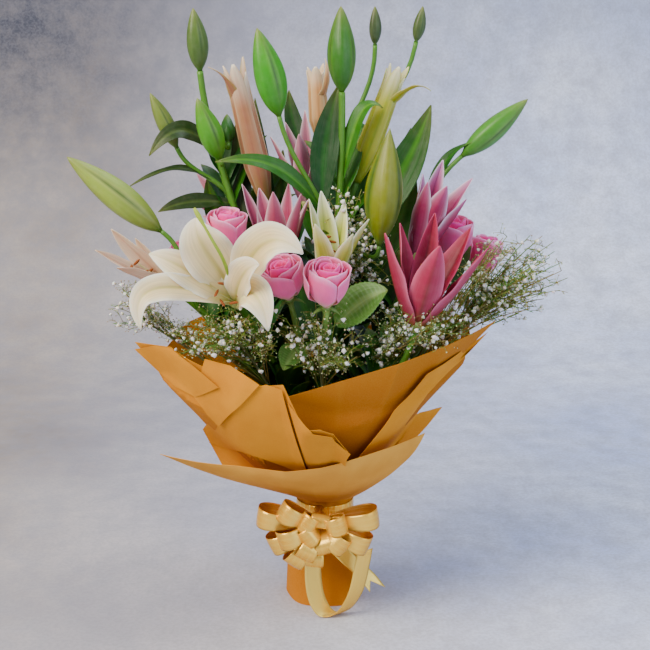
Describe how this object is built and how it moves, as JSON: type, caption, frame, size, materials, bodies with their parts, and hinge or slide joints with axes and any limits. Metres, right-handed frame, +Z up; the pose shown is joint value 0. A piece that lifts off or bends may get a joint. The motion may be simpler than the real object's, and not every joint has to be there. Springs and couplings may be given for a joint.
{
  "type": "lily bouquet",
  "caption": "Hand-tied bouquet of lilies, roses and gypsophila in a gathered golden paper wrap with a ribbon bow; it stands on its flat cut end.",
  "frame": {"origin": "middle of the flat cut end of the bundle, on the surface the bouquet stands on", "axes": "+Z up along the bouquet, +X to the right and +Y away from the viewer as the bow side is seen"},
  "size_m": [0.4848, 0.2969, 0.6012],
  "materials": {
    "lily_green": "waxy green plant skin",
    "rose_green": "green plant skin",
    "white_petal": "satin petal",
    "faded_petal": "dry satin petal",
    "pink_petal": "satin petal",
    "deep_pink_petal": "satin petal",
    "lavender_petal": "satin petal",
    "peach_petal": "satin petal",
    "pale_green_petal": "satin petal",
    "rose_petal": "velvety petal",
    "gypsophila": "matt twigs with white florets",
    "paper": "matt golden tissue-like paper",
    "ribbon": "satin gloss golden ribbon",
    "string": "matt twine"
  },
  "bodies": {
    "root": {"gypsophila_back": "gypsophila", "gypsophila_centre": "gypsophila", "gypsophila_front": "gypsophila", "gypsophila_front_left": "gypsophila", "gypsophila_front_right": "gypsophila", "gypsophila_left": "gypsophila", "gypsophila_right": "gypsophila", "lily_deep_pink": "deep_pink_petal", "lily_faded": "faded_petal", "lily_green_white": "pale_green_petal", "lily_lavender": "lavender_petal", "lily_mauve": "lavender_petal", "lily_mauve_back": "lavender_petal", "lily_peach_long": "peach_petal", "lily_peach_short": "peach_petal", "lily_pink": "pink_petal", "lily_stem_back": "lily_green", "lily_stem_back_left": "lily_green", "lily_stem_centre": "lily_green", "lily_stem_deep_pink": "lily_green", "lily_stem_half_white": "lily_green", "lily_stem_lavender": "lily_green", "lily_stem_left": "lily_green", "lily_stem_peach": "lily_green", "lily_stem_right": "lily_green", "lily_stem_white": "lily_green", "lily_stem_yellow": "lily_green", "lily_white_open": "white_petal", "lily_white_opening": "white_petal", "ribbon_bow": "ribbon", "ribbon_strap": "ribbon", "rose_far_right": "rose_petal", "rose_far_right_stem": "rose_green", "rose_front": "rose_petal", "rose_front_stem": "rose_green", "rose_hidden": "rose_petal", "rose_hidden_stem": "rose_green", "rose_left": "rose_petal", "rose_left_stem": "rose_green", "rose_middle": "rose_petal", "rose_middle_stem": "rose_green", "rose_right": "rose_petal", "rose_right_stem": "rose_green", "string_tie": "string", "wrap_collar": "paper", "wrap_corner": "paper", "wrap_inner": "paper", "wrap_left": "paper", "wrap_right": "paper"}
  },
  "joints": []
}
